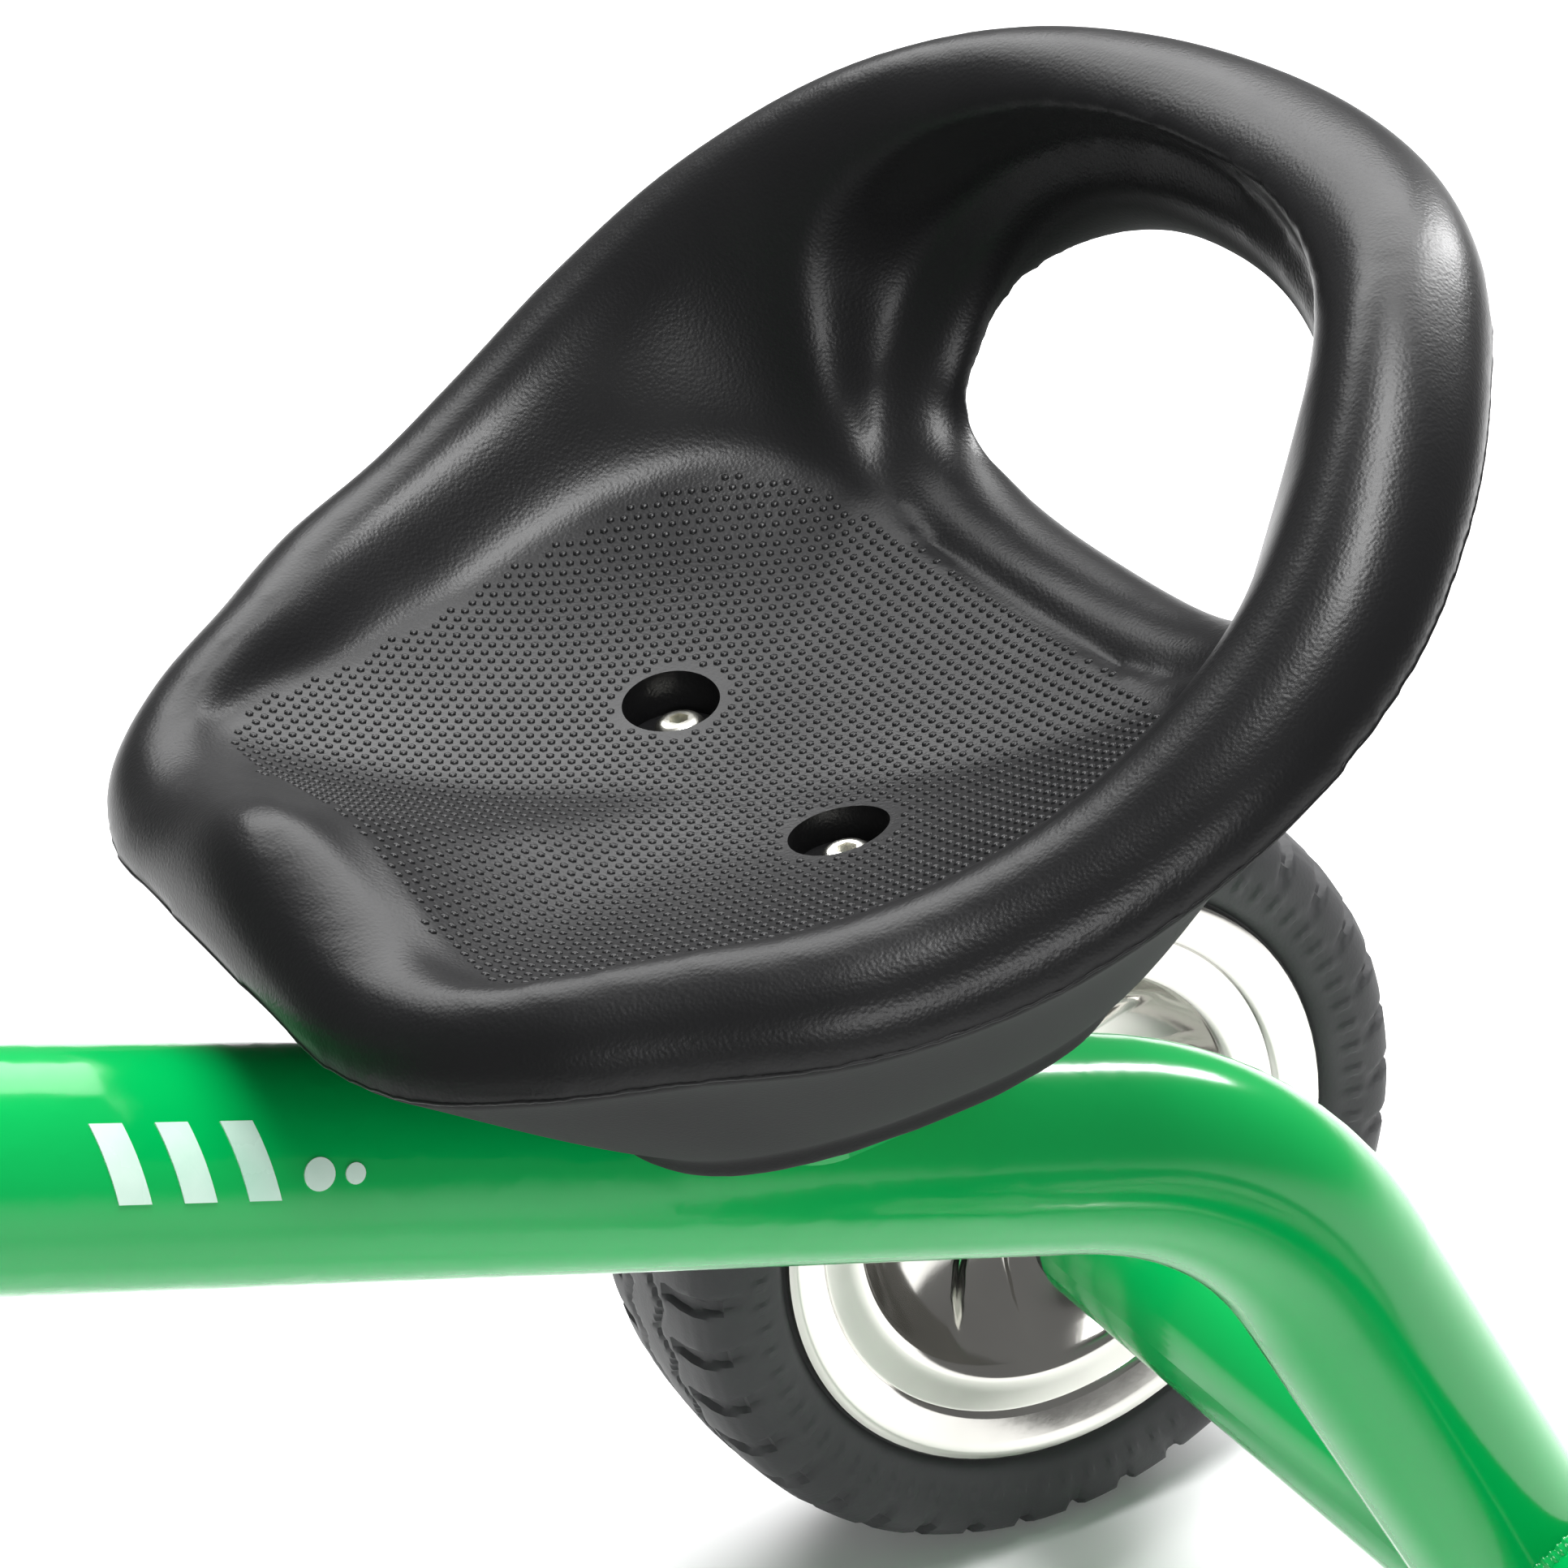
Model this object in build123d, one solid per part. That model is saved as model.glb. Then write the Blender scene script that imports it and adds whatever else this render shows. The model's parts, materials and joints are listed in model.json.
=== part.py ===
from build123d import *
import os
from math import cos, pi, radians, sin, tan

# Child's pedal go kart. Millimetres, +X forward, +Y left, +Z up.
# The origin is on the ground, midway between the axles, on the centre plane.
os.makedirs("parts", exist_ok=True)

# ---- overall ----
WHEELBASE = 690.0
TRACK = 504.0                  # between the middle planes of the two wheels of an axle
WHEEL_R = 121.3
TYRE_HALF_WIDTH = 37.0
RUN_CLEAR = 0.06               # radial running fit of a bush on its shaft
GAP = 0.5                      # axial play between pieces that turn on each other

# ---- frame ----
SPINE_R = 25.0
SPINE_WALL = 2.0
SPINE_RISE = 18.3              # degrees, rising towards the front
SPINE_DROP = 62.3              # degrees, where the rear end falls to the axle
SPINE_BEND_R = 120.0
SPINE_APEX = 81.1              # where the two straight runs would meet, ahead of the rear axle
AXLE_TUBE_R = 24.15
AXLE_TUBE_WALL = 2.5
AXLE_TUBE_HALF = 192.0
AXLE_ROD_R = 6.0
HEAD_R = 28.0
HEAD_WALL = 3.0
HEAD_LENGTH = 110.0

# ---- seat ----
SEAT_X = 200.0                 # seat reference ahead of the rear axle
SEAT_DROP = 34.7               # spine centreline below the seat's base at that place
SEAT_TILT = 4.3                # degrees, front edge down
SEAT_WIDTH = 302.0
SEAT_FRONT = 121.0
SEAT_REAR = 161.0
SEAT_WIDEST = -40.0
SEAT_TOP = 150.0               # height where the outer wall stands upright
PAN_HEIGHT = 60.0
PAN_WALL = 9.0
RIM_ROUND = 7.0                # rounding of the rolled rim's two edges
HAND_HOLE_HALF = 57.0
HAND_HOLE_SILL = 79.0
HAND_HOLE_HEIGHT = 54.0
SEAT_BOLT_HALF = 36.0
SEAT_BOLT_X = -4.0
SEAT_BOLT_R = 3.0
SEAT_BOLT_SEAT = 51.5          # height of the counterbore's floor
COUNTERBORE_R = 10.0
BUTTON_R = 5.6
BUTTON = 4.0                   # height of a button head
SMALL_NUT_R = 5.7
SMALL_NUT = 6.0
SMALL_WASHER_R = 6.5
SMALL_WASHER = 1.6
BOLT_HOLE = 0.3                # radial clearance of the seat bolts' holes
WING = 3.0                     # thickness of the bracket plates
WING_IN = 12.0                 # the upright plate stands this far from the centre plane
WING_REACH = 54.0
WING_HALF = 30.0
WING_CORNER = 12.0

# ---- steering ----
COLUMN_LEAN = 22.0             # degrees, leaning back
COLUMN_R = 14.0
COLUMN_WALL = 2.5
COLUMN_TOP = 498.0
HAND_WHEEL_S = 486.0           # middle plane of the steering wheel, along the column
PLUG = 22.0                    # length of the bushes that plug a tube's end
RING = 10.0                    # height of a clamp ring
HOOP_R = 12.5
HOOP_WALL = 2.0
HOOP_HALF = 172.0
HOOP_HEIGHT = 210.0
HOOP_BEND_R = 60.0
HOUSING_R = 19.0
HOUSING_HALF = 14.0
CRANK_BUSH_R = 13.0
FLANGE = 3.0                   # thickness of every bush flange
HAND_WHEEL_R = 120.0
GRIP_R = 13.0
HAND_CORE_R = 5.0
CROSS_BOLT_R = 3.0
HAND_HUB_R = 30.0

# ---- crank and pedals ----
CRANK_R = 8.0
CRANK_THROW = 85.0
CRANK_BEND_R = 14.0
CRANK_REST = 35.0              # degrees, left throw above the front horizontal
WEB_IN = 30.0
THREAD_R = 6.0
PEDAL_Y = 85.0
PEDAL_WIDTH = 80.0
PEDAL_LENGTH = 64.0
PEDAL_HALF = 11.0
PEDAL_SCREW_R = 2.5
PEDAL_SCREW_X = 18.0

# ---- wheels, about their own middle plane, +y outboard ----
LIP_R = 90.2
LIP_HALF = 34.0
BAND_R = 82.0
HUB_TUBE_R = 16.0
HUB_BORE_R = 12.5
HUB_IN = 46.0
HUB_OUT = 16.0
HUB_BUSH_LENGTH = 20.0
HUB_FLANGE_R = 18.0
TYRE_WALL = 6.0
WASHER_R = 12.0
WASHER = 2.0
NUT_R = 10.5
NUT = 8.0
CAP_R = 19.5
CAP_TIP = 36.0
DRIVE_PIN_R = 2.5
DRIVE_PIN_Y = -36.0

# ---- places that follow from the sizes above ----
REAR_X = -WHEELBASE / 2
FRONT_X = WHEELBASE / 2
HALF_TRACK = TRACK / 2
APEX_X = REAR_X + SPINE_APEX
APEX_Z = WHEEL_R + SPINE_APEX * tan(radians(SPINE_DROP))
RISE = tan(radians(SPINE_RISE))
LEAN = tan(radians(COLUMN_LEAN))
# the column axis leans back from the front axle; the spine's line meets it at the head
HEAD_Z = (APEX_Z + (FRONT_X + WHEEL_R * LEAN - APEX_X) * RISE) / (1 + LEAN * RISE)
HEAD_X = FRONT_X - (HEAD_Z - WHEEL_R) * LEAN
HEAD_S = (HEAD_Z - WHEEL_R) / cos(radians(COLUMN_LEAN))
SEAT_Z = APEX_Z + (REAR_X + SEAT_X - APEX_X) * RISE + SEAT_DROP
SEAT = Location((REAR_X + SEAT_X, 0, SEAT_Z), (0, SEAT_TILT, 0))
COLUMN = Location((FRONT_X, 0, WHEEL_R), (0, -COLUMN_LEAN, 0))
AXLE_END = HALF_TRACK - HUB_IN - FLANGE      # where a wheel's hub begins, from the centre
WEB_OUT = HOOP_HALF - HOUSING_HALF - CRANK_BEND_R - 2      # the bend ends just inside the bush


def save(name, shape):
    shape.label = name
    export_step(shape, f"parts/{name}.step")


def rod(radius, y0, y1):
    """Cylinder along Y from y0 to y1."""
    return Pos(0, (y0 + y1) / 2, 0) * Rot(90, 0, 0) * Cylinder(radius, abs(y1 - y0))


def sleeve(outer, inner, y0, y1):
    return rod(outer, y0, y1) - rod(inner, y0 - 1, y1 + 1)


def post(radius, z0, z1):
    """Cylinder along Z from z0 to z1."""
    return Pos(0, 0, (z0 + z1) / 2) * Cylinder(radius, z1 - z0)


def pipe(points, bend, radius):
    """Round bar that follows straight runs joined by tangent arcs."""
    path = FilletPolyline(*points, radius=bend)
    start = Plane(origin=path @ 0, z_dir=path % 0)
    return sweep(start * Circle(radius), path=path)


def tube(points, bend, radius, wall):
    return pipe(points, bend, radius) - pipe(points, bend, radius - wall)


def hexagon_rod(radius, y0, y1):
    """Hexagonal bar along Y."""
    return Pos(0, y0, 0) * Rot(-90, 0, 0) * extrude(RegularPolygon(radius, 6), amount=y1 - y0)


# ------------------------------------------------------------------ frame
def spine_points():
    end = 8.0                                  # the bar stops just above the rear axle's line
    drop = radians(SPINE_DROP)
    rear = (REAR_X + end * cos(drop), 0, WHEEL_R + end * sin(drop))
    return [rear, (APEX_X, 0, APEX_Z), (HEAD_X, 0, HEAD_Z)]


def head_bar(radius):
    return COLUMN * post(radius, HEAD_S - HEAD_LENGTH, HEAD_S + HEAD_LENGTH)


def spine_tube():
    bar = tube(spine_points(), SPINE_BEND_R, SPINE_R, SPINE_WALL)
    axle = Pos(REAR_X, 0, WHEEL_R) * rod(AXLE_TUBE_R, -AXLE_TUBE_HALF, AXLE_TUBE_HALF)
    return bar - axle - head_bar(HEAD_R)


def rear_axle_tube():
    inner = AXLE_TUBE_R - AXLE_TUBE_WALL
    return Pos(REAR_X, 0, WHEEL_R) * sleeve(AXLE_TUBE_R, inner, -AXLE_TUBE_HALF, AXLE_TUBE_HALF)


def head_tube():
    half = HEAD_LENGTH / 2
    barrel = post(HEAD_R, HEAD_S - half, HEAD_S + half)
    bore = post(HEAD_R - HEAD_WALL, HEAD_S - half - 1, HEAD_S + half + 1)
    return COLUMN * (barrel - bore)


def head_bushing(side):
    """Flanged nylon bush at one end of the head tube: side +1 is the upper one."""
    face = HEAD_S + side * HEAD_LENGTH / 2
    plug = post(HEAD_R - HEAD_WALL, *sorted((face, face - side * PLUG)))
    flange = post(HEAD_R, *sorted((face, face + side * FLANGE)))
    bore = post(COLUMN_R + RUN_CLEAR, face - 2 * PLUG, face + 2 * PLUG)
    return COLUMN * (plug + flange - bore)


def end_bush(side):
    """Plug in the end of the rear axle tube that centres the axle rod."""
    plug = rod(AXLE_TUBE_R - AXLE_TUBE_WALL, AXLE_TUBE_HALF - PLUG, AXLE_TUBE_HALF)
    flange = rod(AXLE_TUBE_R - 1, AXLE_TUBE_HALF, AXLE_TUBE_HALF + 5)
    nose = rod(HUB_TUBE_R, AXLE_TUBE_HALF + 5, AXLE_END - GAP)
    bush = plug + flange + nose - rod(AXLE_ROD_R, 0, TRACK)
    return Pos(REAR_X, 0, WHEEL_R) * (bush if side > 0 else mirror(bush, about=Plane.XZ))


def rear_axle_rod():
    end = HALF_TRACK + HUB_OUT + FLANGE + GAP + WASHER + NUT + 1.5
    return Pos(REAR_X, 0, WHEEL_R) * chamfer(rod(AXLE_ROD_R, -end, end).edges(), 1.0)


def seat_bracket(side):
    """Welded angle plate: a wing under the seat and an upright plate fitted to the spine's top."""
    wing = Box(2 * WING_HALF, WING_REACH - WING_IN, WING)
    wing = Pos(SEAT_BOLT_X, (WING_IN + WING_REACH) / 2, -WING / 2) * wing
    outer_corners = wing.edges().filter_by(Axis.Z).group_by(Axis.Y)[-1]
    wing = fillet(outer_corners, WING_CORNER)
    upright = Pos(SEAT_BOLT_X, WING_IN + WING / 2, -SEAT_DROP / 2) * Box(2 * WING_HALF, WING, SEAT_DROP)
    plate = wing + upright
    plate -= Pos(SEAT_BOLT_X, SEAT_BOLT_HALF, 0) * post(SEAT_BOLT_R + BOLT_HOLE, -SEAT_DROP, SEAT_DROP)
    if side < 0:
        plate = mirror(plate, about=Plane.XZ)
    return SEAT * plate - pipe(spine_points(), SPINE_BEND_R, SPINE_R)


# ------------------------------------------------------------------ seat
def egg(front, rear, half_width, height, power=1.0):
    """Closed oval about the seat's widest line, drawn as two half ovals."""
    corner = [i * pi / 12 for i in range(24)]
    points = []
    for angle in corner:
        reach = front if cos(angle) > 0 else rear
        x = SEAT_WIDEST + reach * abs(cos(angle)) ** power * (1 if cos(angle) > 0 else -1)
        y = half_width * abs(sin(angle)) ** power * (1 if sin(angle) > 0 else -1)
        points.append((x, y, height))
    return make_face(Spline(*points, periodic=True))


def oval(front, rear, half_width, height, power):
    """Egg from its foremost to its rearmost x."""
    return egg(front - SEAT_WIDEST, SEAT_WIDEST - rear, half_width, height, power)


def seat_profile():
    """Side view of the rim's top, low in front and high behind."""
    crest = Spline(
        (SEAT_FRONT + 30, 88), (100, 84.5), (60, 86), (0, 93.5), (-30, 103.5), (-60, 118.5), (-90, 135),
        (-120, 151), (-150, 165), (-SEAT_REAR - 30, 172),
    )
    tail = crest @ 1
    nose = crest @ 0
    sides = Polyline((tail.X, tail.Y), (tail.X, -PAN_HEIGHT), (nose.X, -PAN_HEIGHT), (nose.X, nose.Y))
    face = Plane.XZ * make_face([crest, sides])
    return extrude(face, amount=SEAT_WIDTH, both=True)


def hand_hole():
    """D-shaped opening through the backrest, flat side down."""
    corner_z = HAND_HOLE_SILL + 23
    shoulder = (HAND_HOLE_HALF - 10, HAND_HOLE_SILL + 43)
    right_end, left_end = (-HAND_HOLE_HALF, corner_z), (HAND_HOLE_HALF, corner_z)
    crown = (0, HAND_HOLE_SILL + HAND_HOLE_HEIGHT)
    arch = Spline(left_end, shoulder, crown, (-shoulder[0], shoulder[1]), right_end)
    sill = HAND_HOLE_HALF - 9
    bottom = Polyline(right_end, (-sill, HAND_HOLE_SILL), (sill, HAND_HOLE_SILL), left_end)
    face = make_face([arch, bottom])
    face = fillet(face.vertices().group_by(Axis.Y)[0], WING_CORNER)
    start = Plane(origin=(-2 * SEAT_REAR, 0, 0), x_dir=(0, 1, 0), z_dir=(1, 0, 0))
    return extrude(start * face, amount=2 * SEAT_REAR - 60)


def seat_shell():
    half = SEAT_WIDTH / 2
    top = oval(SEAT_FRONT, -SEAT_REAR, half, SEAT_TOP, 0.95)
    outside = loft([oval(52, -72, 62, 0, 0.85), oval(112, -104, half - 23, 56, 0.93),
                    oval(SEAT_FRONT, -130, half, 100, 0.93), top])
    body = (outside + extrude(top, amount=40)) & seat_profile()
    body -= loft([oval(80, -66, half - 69, PAN_HEIGHT, 0.75), oval(87, -74, half - 56, 80, 0.8),
                  oval(97, -104, half - 29, 115, 0.9), oval(104, -140, half - 21, 200, 0.95)])
    body -= hand_hole()
    rim_edges = [e for e in body.edges() if e.length > 100 and abs(e.center().Y) > 50 and e.center().Z > 78]
    body = fillet(rim_edges, RIM_ROUND)
    pocket = loft([oval(44, -64, 52, -5, 0.85), oval(92, -88, half - 45, PAN_HEIGHT - PAN_WALL, 0.93)])
    pillar = 2 * COUNTERBORE_R + WING_CORNER
    body -= pocket - Pos(SEAT_BOLT_X, 0, 20) * Box(pillar, 2 * SEAT_BOLT_HALF + pillar, 80)
    for side in (-1, 1):
        place = Pos(SEAT_BOLT_X, side * SEAT_BOLT_HALF, 0)
        body -= place * post(COUNTERBORE_R, SEAT_BOLT_SEAT, SEAT_BOLT_SEAT + PAN_HEIGHT)
        body -= place * post(SEAT_BOLT_R + BOLT_HOLE, -PAN_WALL, SEAT_BOLT_SEAT + 1)
    groove = pipe(spine_points(), SPINE_BEND_R, SPINE_R + 1.5)
    return SEAT * body - groove


def seat_bolts():
    """Button-head screws with a hexagon socket, one each side of the spine."""
    group = []
    for side in (-1, 1):
        place = SEAT * Pos(SEAT_BOLT_X, side * SEAT_BOLT_HALF, 0)
        head = post(BUTTON_R, SEAT_BOLT_SEAT, SEAT_BOLT_SEAT + BUTTON)
        head = fillet(head.edges().group_by(Axis.Z)[-1], 2.5)
        shank = post(SEAT_BOLT_R, -WING - SMALL_WASHER - SMALL_NUT - 1, SEAT_BOLT_SEAT)
        socket = Pos(0, 0, SEAT_BOLT_SEAT + 1.8) * extrude(RegularPolygon(2.3, 6), amount=BUTTON)
        group.append(place * (head + shank - socket))
    return Compound(children=group)


def seat_washers():
    group = []
    for side in (-1, 1):
        ring = post(SMALL_WASHER_R, -WING - SMALL_WASHER, -WING) - post(SEAT_BOLT_R, -SEAT_DROP, SEAT_DROP)
        group.append(SEAT * Pos(SEAT_BOLT_X, side * SEAT_BOLT_HALF, 0) * ring)
    return Compound(children=group)


def seat_nuts():
    group = []
    for side in (-1, 1):
        under = -WING - SMALL_WASHER - SMALL_NUT
        body = Pos(0, 0, under) * extrude(RegularPolygon(SMALL_NUT_R, 6), amount=SMALL_NUT)
        body -= post(SEAT_BOLT_R, -SEAT_DROP, SEAT_DROP)
        group.append(SEAT * Pos(SEAT_BOLT_X, side * SEAT_BOLT_HALF, 0) * body)
    return Compound(children=group)


# ------------------------------------------------------------------ wheels
def rim():
    """Two pressed dishes on a band, with a hub tube; one vent hole in the outer dish."""
    sheet = 1.4
    bowl_edge = 64.0

    def dish(side, inset):
        """Air-side line of one dish from the lip to the hub, moved inwards by inset."""
        y = [side * (v - inset) for v in (LIP_HALF, 33.0, 30.5, 29.0, 28.0)]
        r = [LIP_R - inset, 84.0, 77.0, 76.0, bowl_edge + inset]
        lines = Polyline(*zip(r, y))
        bowl = ThreePointArc((r[-1], y[-1]), (43.0 + inset, side * (8.5 - inset)), (22.0, side * 3.0))
        return lines, bowl

    inner_line, inner_bowl = dish(-1, 0.0)
    outer_line, outer_bowl = dish(1, 0.0)
    band = Polyline(
        (LIP_R, -LIP_HALF), (LIP_R, -31), (85, -29.5), (BAND_R, -24),
        (BAND_R, 24), (85, 29.5), (LIP_R, 31), (LIP_R, LIP_HALF),
    )
    hub = Polyline((22, 3), (HUB_BORE_R, 3), (HUB_BORE_R, -3), (22, -3))
    section = make_face([inner_line, inner_bowl, hub, outer_bowl, outer_line, band])
    belly = BAND_R - sheet
    hollow_in = ThreePointArc((65.3, -26.7), (44.1, -7.4), (28, -2.2))
    hollow_out = ThreePointArc((65.3, 26.7), (44.1, 7.4), (28, 2.2))
    shoulder = [(65.3, 26.7), (77, 27.6), (78.2, 29.4), (83.2, 29.2), (belly, 24)]
    hollow_ends = Polyline(*shoulder, *[(r, -y) for r, y in reversed(shoulder)])
    hollow = make_face([hollow_in, Line((28, -2.2), (28, 2.2)), hollow_out, hollow_ends])
    wheel = revolve(section - hollow, axis=Axis.Y)
    wheel += sleeve(HUB_TUBE_R, HUB_BORE_R, -HUB_IN, HUB_OUT)
    return wheel - Pos(70, 0, 0) * rod(3.0, 20, 40)


def tyre():
    """Open-bellied tyre seated on the rim's band and lips."""
    side = [(LIP_R, 31), (97, 35.6), (106, TYRE_HALF_WIDTH), (115, 33.5), (WHEEL_R - 1.8, 23)]
    outer = Spline(*side, (WHEEL_R, 0), *[(r, -y) for r, y in reversed(side)])
    seat = Polyline(
        (LIP_R, -31), (85, -29.5), (BAND_R, -24), (BAND_R, -24 + TYRE_WALL),
        (92, -24), (104, -28), (112, -22), (112, 22), (104, 28), (92, 24),
        (BAND_R, 24 - TYRE_WALL), (BAND_R, 24), (85, 29.5), (LIP_R, 31),
    )
    return revolve(make_face([outer, seat]), axis=Axis.Y)


def hub_bushes(bore):
    inner = rod(HUB_BORE_R, -HUB_IN, -HUB_IN + HUB_BUSH_LENGTH) + rod(HUB_FLANGE_R, -HUB_IN - FLANGE, -HUB_IN)
    outer = rod(HUB_BORE_R, HUB_OUT - HUB_BUSH_LENGTH, HUB_OUT) + rod(HUB_FLANGE_R, HUB_OUT, HUB_OUT + FLANGE)
    hole = rod(bore, -2 * HUB_IN, 2 * HUB_IN)
    return [inner - hole, outer - hole]


def hub_cap():
    """Snap-on cap over the axle nut, gripping the outer bush's flange."""
    cup = fillet(rod(CAP_R, HUB_OUT, CAP_TIP).edges().group_by(Axis.Y)[-1], 5)
    return cup - rod(HUB_FLANGE_R, HUB_OUT - 1, HUB_OUT + FLANGE) - rod(14.5, HUB_OUT, CAP_TIP - 2)


def washer_and_nut():
    start = HUB_OUT + FLANGE + GAP
    washer = sleeve(WASHER_R, THREAD_R, start, start + WASHER)
    nut = hexagon_rod(NUT_R, start + WASHER, start + WASHER + NUT) - rod(THREAD_R, 0, 100)
    return washer, nut


def at_wheel(shape, x, side):
    """Place a wheel piece at one end of an axle."""
    turned_shape = shape if side > 0 else mirror(shape, about=Plane.XZ)
    return Pos(x, side * HALF_TRACK, WHEEL_R) * turned_shape


def drive_pin():
    """Cross pin that locks the left front hub to the crank."""
    return Pos(0, DRIVE_PIN_Y, 0) * post(DRIVE_PIN_R, -HUB_TUBE_R, HUB_TUBE_R)


def save_wheel(name, x, side, bore, driven=False):
    hole = drive_pin() if driven else None
    parts = {"tyre": tyre(), "rim": rim(), "cap": hub_cap()}
    bushes = hub_bushes(bore)
    if driven:
        parts["rim"] -= hole
        bushes = [bush - hole for bush in bushes]
    for piece, shape in parts.items():
        save(f"{name}_{piece}", at_wheel(shape, x, side))
    save(f"{name}_bushes", Compound(children=[at_wheel(bush, x, side) for bush in bushes]))


# ------------------------------------------------------------------ steering
def hoop_points():
    return [
        (0, HOOP_HALF, 0), (0, HOOP_HALF, HOOP_HEIGHT), (0, -HOOP_HALF, HOOP_HEIGHT), (0, -HOOP_HALF, 0),
    ]


def yoke_hoop():
    hoop = tube(hoop_points(), HOOP_BEND_R, HOOP_R, HOOP_WALL)
    return COLUMN * (hoop - rod(HOUSING_R, -TRACK, TRACK))


def steering_column():
    shaft = post(COLUMN_R, HOOP_HEIGHT + 4, COLUMN_TOP) - post(COLUMN_R - COLUMN_WALL, 0, COLUMN_TOP + 1)
    shaft -= rod(HOOP_R, -TRACK / 4, TRACK / 4).moved(Location((0, 0, HOOP_HEIGHT)))
    shaft -= Pos(0, 0, HAND_WHEEL_S) * rod(CROSS_BOLT_R, -TRACK, TRACK)
    return COLUMN * shaft


def column_ring(side):
    """Ring clamped on the column just clear of a head bush: side +1 is the upper one."""
    face = HEAD_S + side * (HEAD_LENGTH / 2 + FLANGE + GAP)
    ends = sorted((face, face + side * RING))
    ring = post(HEAD_R - 4, *ends) - post(COLUMN_R, 0, COLUMN_TOP)
    top = 0 if side < 0 else -1
    return COLUMN * chamfer(ring.edges().filter_by(GeomType.CIRCLE).group_by(Axis.Z)[top], 1.5)


def bearing_housing(side):
    middle = side * HOOP_HALF
    bore = CRANK_BUSH_R
    return Pos(FRONT_X, 0, WHEEL_R) * sleeve(HOUSING_R, bore, middle - HOUSING_HALF, middle + HOUSING_HALF)


def crank_bush(side):
    inner = HOOP_HALF - HOUSING_HALF
    outer = HOOP_HALF + HOUSING_HALF
    bush = rod(CRANK_BUSH_R, inner, outer) + rod(HOUSING_R - 1, outer, outer + FLANGE)
    bush -= rod(CRANK_R + RUN_CLEAR, 0, TRACK)
    return Pos(FRONT_X, 0, WHEEL_R) * (bush if side > 0 else mirror(bush, about=Plane.XZ))


def hand_wheel_core():
    """Steel ring, three spokes and a hub, before the grip is moulded on."""
    core = Pos(0, 0, HAND_WHEEL_S) * Torus(HAND_WHEEL_R, HAND_CORE_R)
    core += post(HAND_HUB_R, 2 * HAND_WHEEL_S - COLUMN_TOP, COLUMN_TOP)
    root = HAND_HUB_R - 4
    for angle in (60, 180, 300):
        spoke = Pos((HAND_WHEEL_R + root) / 2, 0, HAND_WHEEL_S) * Box(HAND_WHEEL_R - root, 20, 6)
        core += Rot(0, 0, angle) * fillet(spoke.edges().filter_by(Axis.X), 2)
    core -= post(COLUMN_R, 0, COLUMN_TOP + 10)
    return core - Pos(0, 0, HAND_WHEEL_S) * rod(CROSS_BOLT_R, -HAND_HUB_R - 10, HAND_HUB_R + 10)


def hand_wheel_grip():
    grip = Pos(0, 0, HAND_WHEEL_S) * Torus(HAND_WHEEL_R, GRIP_R)
    return grip - hand_wheel_core()


def hand_wheel_cap():
    pad = post(HAND_HUB_R + 4, COLUMN_TOP, COLUMN_TOP + 14)
    return fillet(pad.edges().group_by(Axis.Z)[-1], 9)


def hand_wheel_bolt():
    head = hexagon_rod(SMALL_NUT_R, HAND_HUB_R, HAND_HUB_R + 4)
    return Pos(0, 0, HAND_WHEEL_S) * (head + rod(CROSS_BOLT_R, -HAND_HUB_R - 7, HAND_HUB_R))


def hand_wheel_nut():
    nut = hexagon_rod(SMALL_NUT_R, -HAND_HUB_R - 5, -HAND_HUB_R) - rod(CROSS_BOLT_R, -TRACK, TRACK)
    return Pos(0, 0, HAND_WHEEL_S) * nut


# ------------------------------------------------------------------ crank and pedals
CRANK = Location((FRONT_X, 0, WHEEL_R), (0, -CRANK_REST, 0))     # its throws lie along local X


def crankshaft():
    """One bent bar: two throws half a turn apart, stepped and threaded at both ends."""
    shoulder = HALF_TRACK + HUB_OUT + FLANGE
    tip = shoulder + GAP + WASHER + NUT + 1.5
    half = [(0, shoulder, 0), (0, WEB_OUT, 0), (CRANK_THROW, WEB_OUT, 0), (CRANK_THROW, WEB_IN, 0)]
    points = half + [(-x, -y, 0) for x, y, _ in reversed(half)]
    bar = pipe(points, CRANK_BEND_R, CRANK_R)
    for side in (-1, 1):
        bar += rod(THREAD_R, *sorted((side * shoulder, side * tip)))
    return CRANK * bar - Pos(FRONT_X, HALF_TRACK, WHEEL_R) * drive_pin()


def crank_spacers():
    start = HOOP_HALF + HOUSING_HALF + FLANGE + GAP
    ring = sleeve(12, CRANK_R, start, AXLE_END - GAP)
    pair = [ring, mirror(ring, about=Plane.XZ)]
    return Compound(children=[Pos(FRONT_X, 0, WHEEL_R) * piece for piece in pair])


def pedal_centre(side):
    turn = radians(CRANK_REST)
    return Pos(
        FRONT_X + side * CRANK_THROW * cos(turn), side * PEDAL_Y, WHEEL_R + side * CRANK_THROW * sin(turn)
    )


def pedal_half(side, up):
    """Ribbed half shell; two halves close round the journal."""
    body = Pos(0, 0, up * PEDAL_HALF / 2) * Box(PEDAL_LENGTH, PEDAL_WIDTH, PEDAL_HALF)
    body = fillet(body.edges().filter_by(Axis.Z), 12)
    rib = 6.0
    for i in (-2, -1, 1, 2):
        body -= Pos(i * 2 * rib, 0, up * PEDAL_HALF) * Box(rib, PEDAL_WIDTH - 16, 3)
    body -= rod(CRANK_R + RUN_CLEAR, -PEDAL_WIDTH, PEDAL_WIDTH)
    for end in (-1, 1):
        place = Pos(end * PEDAL_SCREW_X, 0, 0)
        body -= place * post(PEDAL_SCREW_R, -PEDAL_HALF - 1, PEDAL_HALF + 1)
        body -= place * post(5.0, *sorted((up * (PEDAL_HALF - 4.5), up * (PEDAL_HALF + 1))))
    return pedal_centre(side) * body


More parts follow.
